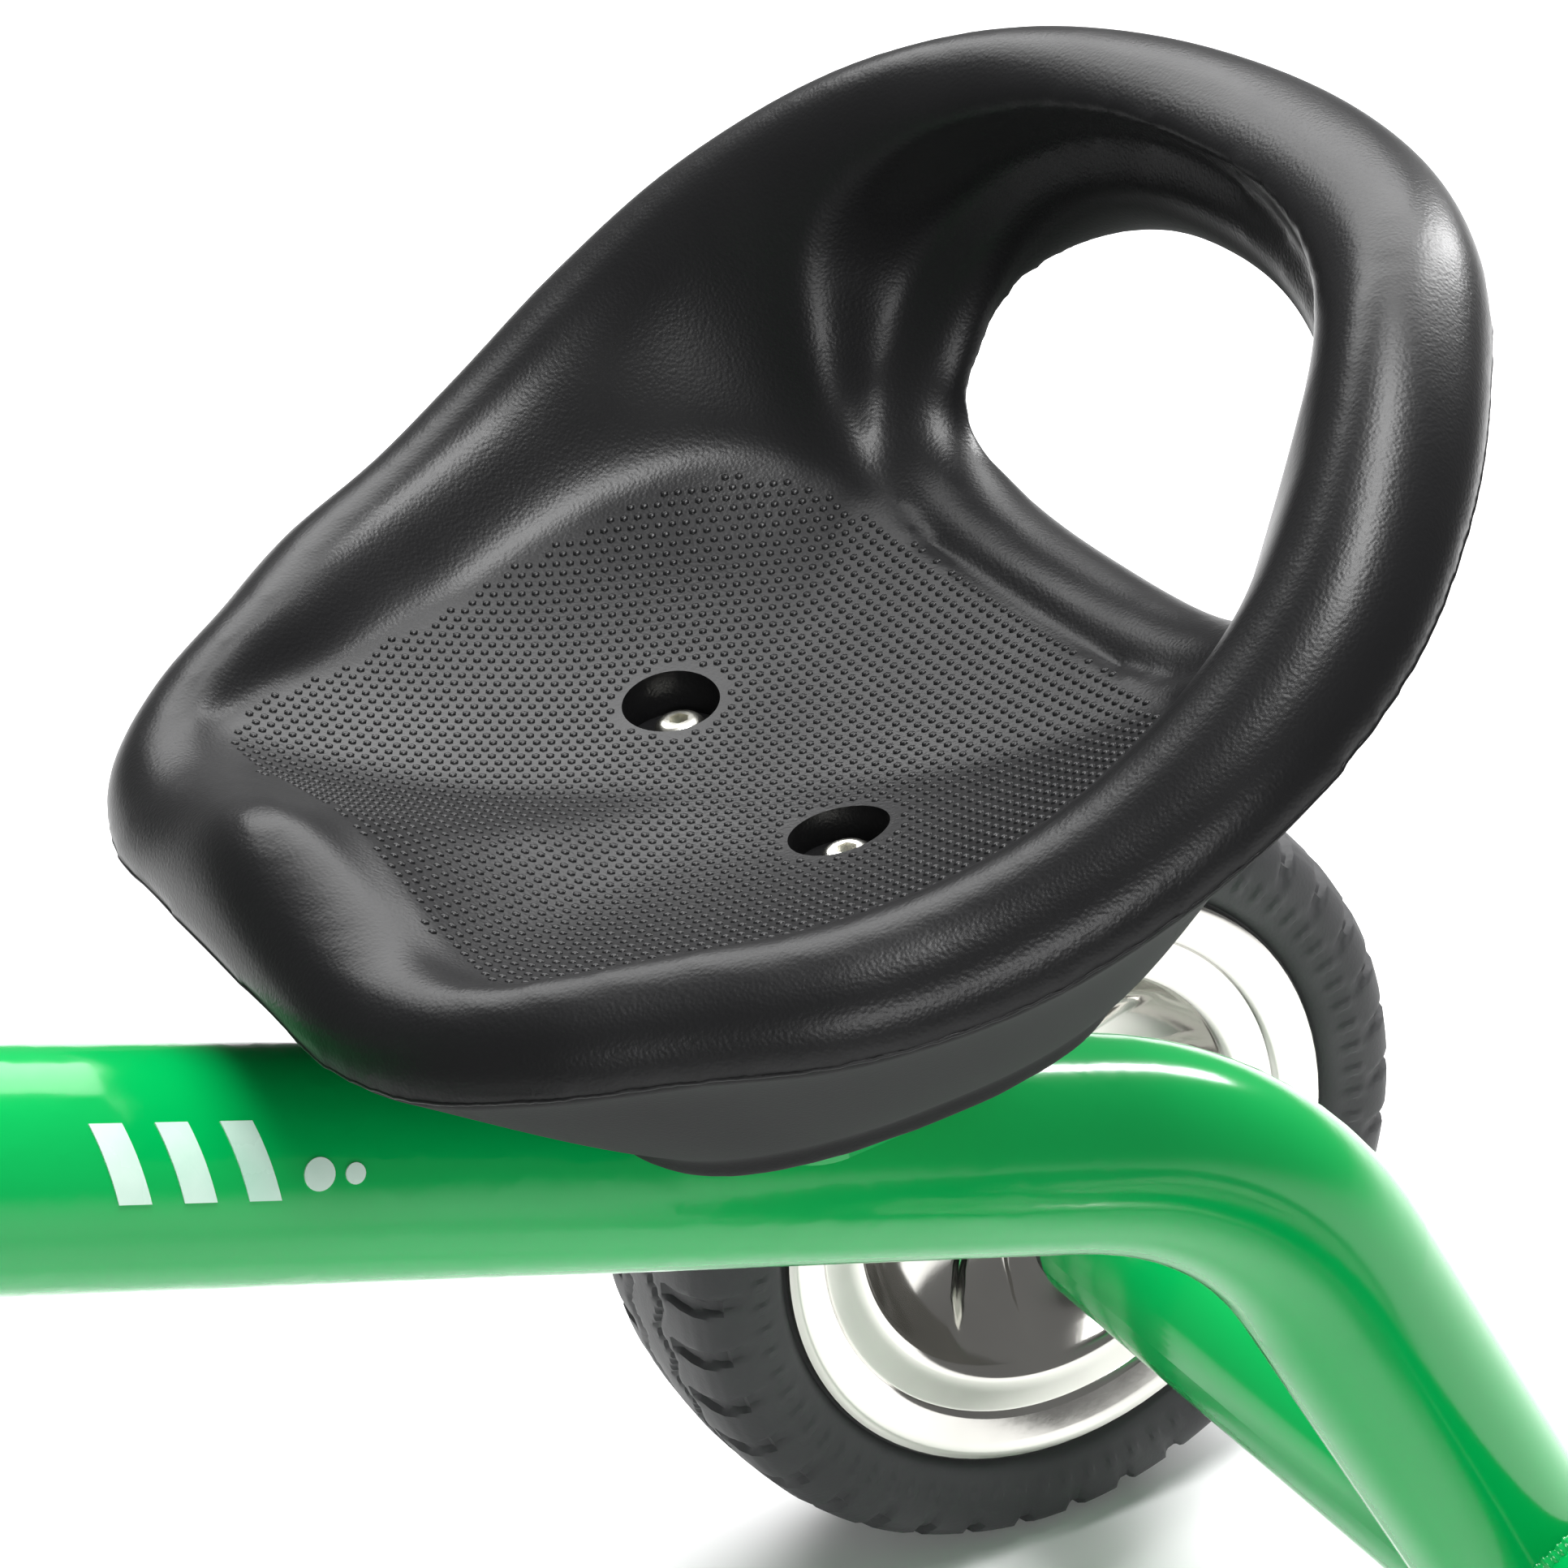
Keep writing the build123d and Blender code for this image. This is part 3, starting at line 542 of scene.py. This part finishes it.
def soften_round_hole(seat):
    """Blend the hand hole's rounded edge into the wall on both sides of it, and ease its throat.

    Each pair of weights is a product of ramps: distance ahead of the hole's plane, rise above the
    crossbar and distance from the middle, all in millimetres."""
    lean = (ARCH - CROSSBAR) / np.linalg.norm(ARCH - CROSSBAR)
    group = seat.vertex_groups.new(name="beside_hole")
    for vertex in seat.data.vertices:
        x, y, z = (v / MM for v in vertex.co)
        ahead = (x - CROSSBAR[0]) * lean[1] - (z - CROSSBAR[1]) * lean[0]
        rise = (x - CROSSBAR[0]) * lean[0] + (z - CROSSBAR[1]) * lean[1]
        beside = (ahead - 2) / 8, (rise - 14) / 14, (abs(y) - 30) / 14, (98 - abs(y)) / 14, (90 - rise) / 12
        throat = (64 - abs(ahead)) / 10, (rise - 2) / 8, (88 - abs(y)) / 10, (102 - rise) / 10
        weight = max(np.prod(np.clip(beside, 0, 1)), 0.75 * np.prod(np.clip(throat, 0, 1)))
        if weight > 0.01:
            group.add([vertex.index], float(weight), "REPLACE")
    soften = seat.modifiers.new("soften", "SMOOTH")
    soften.factor = 0.5
    soften.iterations = 70
    soften.vertex_group = group.name
    apply_all(seat)
    seat.vertex_groups.clear()


def build_seat():
    rings = seat_rings()
    seat = skin("seat", rings, np.array([0.0, 0.0, 0.0]), np.array(PAN_MIDDLE))
    face_out(seat)
    cutter = hand_hole_cutter()
    face_out(cutter)
    cut(seat, cutter)
    remesh = seat.modifiers.new("even", "REMESH")
    remesh.mode = "VOXEL"
    remesh.voxel_size = 1.9 * MM
    ease = seat.modifiers.new("ease", "SMOOTH")
    ease.factor = 0.5
    ease.iterations = 8
    apply_all(seat)
    soften_round_hole(seat)
    for side in (-1, 1):
        place = (SEAT_BOLT.x, side * BOLT_HALF_SPAN, WELL_FLOOR + WELL_DEPTH / 2)
        well = cylinder("well", WELL_RADIUS, WELL_DEPTH, place)
        cut(seat, well)
    # 1 where the surface faces down, 0 where it faces up or sideways
    underside = seat.data.attributes.new("underside", "FLOAT", "POINT")
    for vertex, mark in zip(seat.data.vertices, underside.data):
        mark.value = min(max((-0.05 - vertex.normal.z) / 0.3, 0.0), 1.0)
    seat.data.transform(seat_matrix())
    return finish_piece(seat, "frame", MATERIALS["seat_plastic"], ["seat_shell"], 50)


def build_seam(seat):
    """Fine raised moulding line round the outside of the rim, laid on the seat's real surface."""
    matrix = seat_matrix()
    rim = closed_curve(whole([s[0] for s in SEAT_HALF]), 24)
    tree = BVHTree.FromPolygons([v.co.copy() for v in seat.data.vertices],
                                [list(p.vertices) for p in seat.data.polygons])
    line = []
    for point in rim:
        place, normal, _, _ = tree.find_nearest(matrix @ Vector(point * MM))
        line.append(place - normal * 0.1 * MM)
    curve = bpy.data.curves.new("seat_seam", "CURVE")
    curve.dimensions = "3D"
    spline = curve.splines.new("POLY")
    spline.points.add(len(line) - 1)
    for point, place in zip(spline.points, line):
        point.co = (*place, 1)
    spline.use_cyclic_u = True
    curve.bevel_depth = 0.45 * MM
    curve.bevel_resolution = 2
    seam = bpy.data.objects.new("seat_seam", curve)
    bpy.context.scene.collection.objects.link(seam)
    pick(seam)
    bpy.ops.object.convert(target="MESH")
    seam = bpy.context.object
    return finish_piece(seam, "frame", MATERIALS["seat_plastic"], angle=80)


STUD_PITCH = 3.05 * MM
ROW_PITCH = STUD_PITCH * 0.87      # every second row is half a stud along
PAN_MARGIN = 1.2 * MM
WELL_MARGIN = 12.5 * MM


def build_studs(seat):
    """Rows of small round studs over the pan, set on the seat's real surface."""
    edge = closed_curve(whole([s[2] for s in SEAT_HALF]), COLUMNS)[:, :2] * MM
    matrix = seat_matrix()
    back = matrix.inverted()
    tree = BVHTree.FromPolygons([back @ v.co for v in seat.data.vertices],
                                [list(p.vertices) for p in seat.data.polygons])
    ahead = np.roll(edge, -1, axis=0)

    def inside(x, y, margin):
        crossing = (edge[:, 1] > y) != (ahead[:, 1] > y)
        with np.errstate(divide="ignore", invalid="ignore"):
            at = edge[:, 0] + (y - edge[:, 1]) / (ahead[:, 1] - edge[:, 1]) * (ahead[:, 0] - edge[:, 0])
        if np.count_nonzero(crossing & (x < at)) % 2 == 0:
            return False
        return np.min(np.hypot(edge[:, 0] - x, edge[:, 1] - y)) > margin

    points, faces = [], []
    rows = int(0.2 / ROW_PITCH)
    profile = ((1.1, -0.35), (0.92, 0.18), (0.5, 0.4))      # radius and height in millimetres
    for i in range(-rows, rows):
        for j in range(-40, 41):
            x = i * ROW_PITCH
            y = (j + 0.5 * (i % 2)) * STUD_PITCH
            if not inside(x, y, PAN_MARGIN):
                continue
            if math.hypot(x - SEAT_BOLT.x, abs(y) - BOLT_HALF_SPAN) < WELL_MARGIN:
                continue
            hit, normal, _, _ = tree.ray_cast(Vector((x, y, 0.15)), Vector((0, 0, -1)))
            if hit is None:
                continue
            across = normal.cross(Vector((0, 1, 0))).normalized()
            along = normal.cross(across)
            first = len(points)
            for radius, height in profile:
                for k in range(6):
                    a = math.pi / 3 * k
                    points.append(hit + (across * math.cos(a) + along * math.sin(a)) * radius * MM
                                  + normal * height * MM)
            points.append(hit + normal * 0.46 * MM)
            for ring in (0, 6):
                for k in range(6):
                    n = (k + 1) % 6
                    faces.append((first + ring + k, first + ring + n, first + ring + 6 + n, first + ring + 6 + k))
            faces += [(first + 12 + k, first + 12 + (k + 1) % 6, first + 18) for k in range(6)]
            faces.append(tuple(first + k for k in range(5, -1, -1)))
    studs = new_mesh("seat_studs", points, faces)
    studs.data.transform(matrix)
    face_out(studs)
    return finish_piece(studs, "frame", MATERIALS["seat_plastic"], angle=80)


# ------------------------------------------------------------------ wheels
WHEEL_RADIUS = 121.3 * MM
HALF_TRACK = 252 * MM
TREAD = 40                     # shoulder blocks round each tyre
PRESSED_SECTORS = 5
TYRE_HALF_SECTION = [(91.0, 31.2), (92.5, 33.2), (95, 34.6), (99, 35.6), (104, 36.2), (108, 35.8), (112, 34.4),
                     (115.6, 31.6), (118.2, 27.4), (119.6, 22.0), (120.4, 15.0), (120.9, 7.5), (121.2, 0.0)]
RIM_HALF_SECTION = [(12.6, 46.0), (16.0, 46.0), (16.0, 12.0), (16.8, 7.0), (20.0, 3.2), (26.0, 3.4), (33.0, 4.9),
                    (41.0, 7.9), (49.0, 12.6), (55.0, 17.6), (59.5, 22.4), (62.2, 26.6), (63.2, 28.2), (64.6, 29.4),
                    (66.4, 29.9), (70.0, 29.6), (75.6, 29.2), (76.2, 29.3), (77.0, 30.6), (78.0, 31.0),
                    (84.4, 33.2), (87.0, 34.1), (88.8, 34.2), (90.0, 33.4), (90.3, 32.2), (90.0, 31.0),
                    (87.5, 30.4), (85.0, 29.4), (82.6, 25.0)]


def tyre_ring(name):
    """Tyre with scalloped shoulder blocks, a zigzag groove and raised dashes on the outer sidewall."""
    section = TYRE_HALF_SECTION + [(r, -y) for r, y in TYRE_HALF_SECTION[-2::-1]]
    section = [(84.5, 29.2), (88.0, 30.4)] + section + [(88.0, -30.4), (84.5, -29.2), (82.3, -24.4), (82.3, 24.4)]
    dense = []
    for (r0, y0), (r1, y1) in zip(section, section[1:] + section[:1]):
        parts = max(1, int(math.hypot(r1 - r0, y1 - y0) / 1.6))
        dense += [(r0 + (r1 - r0) * i / parts, y0 + (y1 - y0) * i / parts) for i in range(parts)]
    steps = TREAD * 16
    rings = []
    for k in range(steps):
        phase = k / steps * TREAD
        ring = []
        for r, y in dense:
            side = 1 if y > 0 else -1
            shift = phase + (0.5 if side < 0 else 0)
            at = shift - math.floor(shift)
            depth = 0.0
            if r > 104:
                # shoulder blocks: a slanted notch between each pair, deepest near the shoulder
                slant = (at + (r - 112) * 0.012) % 1
                notch = min(1.0, max(0.0, (0.16 - abs(slant - 0.5)) / 0.06))
                reach = min(1.0, max(0.0, (r - 104.5) / 5)) * min(1.0, max(0.0, (abs(y) - 13) / 3))
                depth = 2.0 * notch * reach
                # zigzag groove each side of the middle
                zig = 9.0 + 2.5 * (abs(at - 0.5) * 4 - 1)
                depth = max(depth, 2.2 * max(0.0, 1 - abs(abs(y) - zig) / 1.9) if r > 118 else 0.0)
            raised = 0.0
            if 97 < r < 103 and abs(y) > 34 and 0.28 < (at * 2) % 1 < 0.72:
                raised = 0.7
            # the sidewall's bead ring
            raised += 0.5 * max(0.0, 1 - abs(r - 94.6) / 1.4) if abs(y) > 33 else 0.0
            outward = 1.0 if r > 112 else 0.0
            ring.append((r - depth * (0.35 + 0.65 * outward), y + side * (raised - depth * 0.55)))
        angle = 2 * math.pi * k / steps
        rings.append([(r * math.cos(angle), y, r * math.sin(angle)) for r, y in ring])
    points = np.array(rings).reshape(-1, 3) * MM
    columns = len(dense)
    faces = []
    for k in range(steps):
        for c in range(columns):
            n, m = (c + 1) % columns, (k + 1) % steps
            faces.append((k * columns + c, k * columns + n, m * columns + n, m * columns + c))
    piece = new_mesh(name, points, faces)
    face_out(piece)
    return piece


def rim_ring(name):
    """Two pressed dishes with rolled lips, and five shallow pressed sectors in each bowl."""
    inner = [(r, -y) for r, y in RIM_HALF_SECTION][::-1]
    front = [(12.6, 16.0), (16.0, 16.0)] + RIM_HALF_SECTION[2:]
    section = [(82.2, 0.0)] + inner + front + [(82.2, 0.0)]
    rim = turned(name, [(r * MM, y * MM) for r, y in section], steps=180)
    for vertex in rim.data.vertices:
        x, y, z = vertex.co
        r = math.hypot(x, z) / MM
        if 19 < r < 61 and abs(y) < 28 * MM:
            turn = (math.atan2(z, x) / (2 * math.pi) * PRESSED_SECTORS) % 1
            press = min(1.0, max(0.0, (0.36 - abs(turn - 0.5)) / 0.05))
            fade = min(1.0, (r - 19) / 8) * min(1.0, (61 - r) / 5)
            vertex.co.y -= math.copysign(1.8 * MM * press * fade, y)
    return rim


def place_wheel(piece, x, side):
    piece.data.transform(Matrix.Diagonal((1, side, 1, 1)))
    if side < 0:
        piece.data.flip_normals()
    piece.data.transform(Matrix.Translation((x, side * HALF_TRACK, WHEEL_RADIUS)))


def build_wheels():
    for name, side, body in WHEELS:
        low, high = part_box(f"{name}_tyre")
        x = (low.x + high.x) / 2
        tyre = tyre_ring(f"{name}_tread")
        place_wheel(tyre, x, side)
        finish_piece(tyre, body, MATERIALS["tyre_rubber"], [f"{name}_tyre"], 32)
        rim = rim_ring(f"{name}_dish")
        place_wheel(rim, x, side)
        finish_piece(rim, body, MATERIALS["chrome_rim"], [f"{name}_rim"], 38)


# ------------------------------------------------------------------ frame
SPINE_LINE = [(-0.3413, 0, 0.1284), (-0.2639, 0, 0.27577), (0.2040, 0, 0.4305)]
SPINE_RADIUS = 25 * MM
AXLE_TUBE_RADIUS = 24.15 * MM
HEAD_TUBE_RADIUS = 28 * MM
HEAD_LEAN = math.radians(22)
BEAD = 2.4 * MM                 # half height of a weld bead


def weld_bead(name, line):
    """Rippled bead along a closed line of points, each with its outward direction."""
    points, faces = [], []
    sides = 10
    count = len(line)
    for i, (place, _) in enumerate(line):
        ahead = (line[(i + 1) % count][0] - line[i - 1][0]).normalized()
        out = line[i][1]
        across = ahead.cross(out).normalized()
        swell = BEAD * (1 + 0.16 * math.sin(i * 2 * math.pi / 6) + 0.06 * math.sin(i * 0.37))
        for k in range(sides):
            a = 2 * math.pi * k / sides
            points.append(place + out * swell * 0.8 * math.sin(a) + across * swell * 1.25 * math.cos(a))
    for i in range(count):
        for k in range(sides):
            n, m = (k + 1) % sides, (i + 1) % count
            faces.append((i * sides + k, i * sides + n, m * sides + n, m * sides + k))
    piece = new_mesh(name, points, faces)
    face_out(piece)
    return piece


def meeting_line(centre, axis, radius, other_centre, other_axis, other_radius, towards, count=420):
    """Where a bar's surface runs into a second bar, as (point, outward direction)."""
    axis, other_axis = Vector(axis).normalized(), Vector(other_axis).normalized()
    first = axis.orthogonal().normalized()
    second = axis.cross(first)
    line = []
    for k in range(count):
        a = 2 * math.pi * k / count
        radial = first * math.cos(a) + second * math.sin(a)
        start = Vector(centre) + radial * radius
        # distance along the axis at which the point is other_radius from the other bar's line
        gap = start - Vector(other_centre)
        gap -= other_axis * gap.dot(other_axis)
        step = axis - other_axis * axis.dot(other_axis)
        qa, qb, qc = step.dot(step), 2 * gap.dot(step), gap.dot(gap) - other_radius ** 2
        root = math.sqrt(max(0.0, qb * qb - 4 * qa * qc))
        t = (-qb + towards * root) / (2 * qa)
        place = start + axis * t
        away = place - Vector(other_centre)
        away -= other_axis * away.dot(other_axis)
        line.append((place, (radial + away.normalized()).normalized()))
    return line


def build_frame():
    tube_low, tube_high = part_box("rear_axle_tube")
    rear = Vector(((tube_low.x + tube_high.x) / 2, 0, WHEEL_RADIUS))
    drop = Vector(SPINE_LINE[0]) - Vector(SPINE_LINE[1])
    line = meeting_line(SPINE_LINE[1], drop, SPINE_RADIUS * 0.995, rear, (0, 1, 0), AXLE_TUBE_RADIUS, -1)
    bead = weld_bead("spine_foot_weld", line)
    finish_piece(bead, "frame", MATERIALS["green_paint"], angle=60)
    head_low, head_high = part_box("head_tube")
    head = (head_low + head_high) / 2
    rise = Vector(SPINE_LINE[2]) - Vector(SPINE_LINE[1])
    steer_axis = (-math.sin(HEAD_LEAN), 0, math.cos(HEAD_LEAN))
    line = meeting_line(SPINE_LINE[1], rise, SPINE_RADIUS, head, steer_axis, HEAD_TUBE_RADIUS, -1)
    bead = weld_bead("spine_head_weld", line)
    finish_piece(bead, "frame", MATERIALS["green_paint"], angle=60)


# ------------------------------------------------------------------ sticker
def bright_film():
    """Pale silvery film, faintly mottled."""
    return finish_material("bright_film", (0.42, 0.66, 0.53), (0.66, 0.80, 0.72), (0.22, 0.32),
                           (200.0, 1.0, 0.00001), 0.0, 55)[0]


MARK_TURN = math.radians(28)     # the mark sits this far above the spine's side
FILM = 0.35 * MM


def build_sticker():
    """Plain mark along the spine's side: three slanted bars and two dots, in a thin raised film."""
    start, ahead = Vector(SPINE_LINE[1]), (Vector(SPINE_LINE[2]) - Vector(SPINE_LINE[1])).normalized()
    up = Vector((-ahead.z, 0, ahead.x))
    lift = SPINE_RADIUS + FILM
    film = bright_film()
    shapes = []
    for i in range(3):
        x = 259 + 14 * i
        shapes.append([(x, -8), (x + 7, -8), (x + 13, 8), (x + 6, 8)])
    for x, r in ((251, 3.4), (243, 2.2)):
        shapes.append([(x + r * math.cos(a), -3 + r * math.sin(a)) for a in np.linspace(0, 2 * math.pi, 28)[:-1]])
    for side in (1, -1):
        for i, shape in enumerate(shapes):
            points, faces = [], []
            outline = []
            for (x0, v0), (x1, v1) in zip(shape, shape[1:] + shape[:1]):
                parts = max(1, int(math.hypot(x1 - x0, v1 - v0) / 1.0))
                outline += [(x0 + (x1 - x0) * k / parts, v0 + (v1 - v0) * k / parts) for k in range(parts)]
            middle = np.mean(outline, axis=0)
            rings = [[(middle[0] + (x - middle[0]) * f, middle[1] + (v - middle[1]) * f) for x, v in outline]
                     for f in (1.0, 0.75, 0.5, 0.25)]
            for layer in (rings[0], *rings):
                low = layer is rings[0] and not points
                for x, v in layer:
                    turn = v * MM / SPINE_RADIUS + MARK_TURN
                    radial = Vector((0, side, 0)) * math.cos(turn) + up * math.sin(turn)
                    reach = lift - (0.6 * MM if low else 0)
                    points.append(start + ahead * x * MM + radial * reach)
            n = len(outline)
            for layer in range(len(rings)):
                for k in range(n):
                    m = (k + 1) % n
                    faces.append((layer * n + k, layer * n + m, (layer + 1) * n + m, (layer + 1) * n + k))
            turn = middle[1] * MM / SPINE_RADIUS + MARK_TURN
            radial = Vector((0, side, 0)) * math.cos(turn) + up * math.sin(turn)
            points.append(start + ahead * middle[0] * MM + radial * lift)
            top = len(rings) * n
            faces += [(top + k, top + (k + 1) % n, len(points) - 1) for k in range(n)]
            faces.append(tuple(range(n)))
            mark = new_mesh(f"mark_{'left' if side > 0 else 'right'}_{i}", points, faces)
            face_out(mark)
            finish_piece(mark, "frame", film, angle=30)


bpy.context.scene.view_settings.view_transform = "Standard"
add_camera()
add_studio()
dress_cad_nodes()
seat = build_seat()
build_studs(seat)
build_seam(seat)
build_wheels()
build_frame()
build_sticker()
